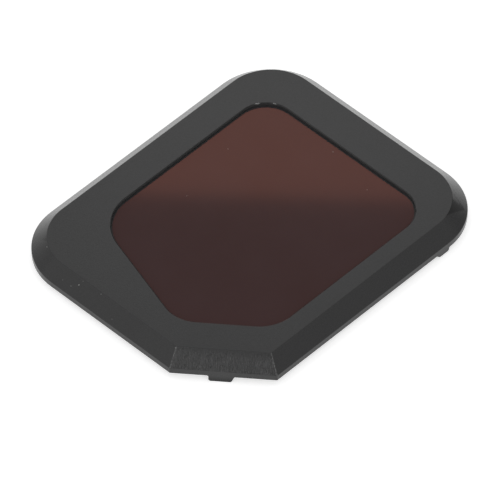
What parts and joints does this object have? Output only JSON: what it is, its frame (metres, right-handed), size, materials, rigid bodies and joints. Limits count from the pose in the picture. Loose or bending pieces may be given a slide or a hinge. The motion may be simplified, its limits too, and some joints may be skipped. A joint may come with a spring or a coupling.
{
  "type": "neutral density filter",
  "caption": "Clip-on neutral density filter: bevelled black frame with a cut corner, a five-sided window over a dark pane, and small snap claws at the back.",
  "frame": {"origin": "middle of the plan, on the plane that the tips of the three claws rest on", "axes": "+X along the long side, +Y along the short side, +Z out through the front face; the cut corner is at low X and low Y"},
  "size_m": [0.046, 0.038, 0.0036],
  "materials": {
    "black_anodised_frame": "machined and matt black anodised, fine grain",
    "neutral_density_glass": "polished, dark, with a red-brown anti-reflection coating",
    "black_adhesive": "cured black adhesive, slightly satin"
  },
  "bodies": {
    "root": {"frame": "black_anodised_frame", "filter_glass": "neutral_density_glass", "bond_bead": "black_adhesive"}
  },
  "joints": []
}
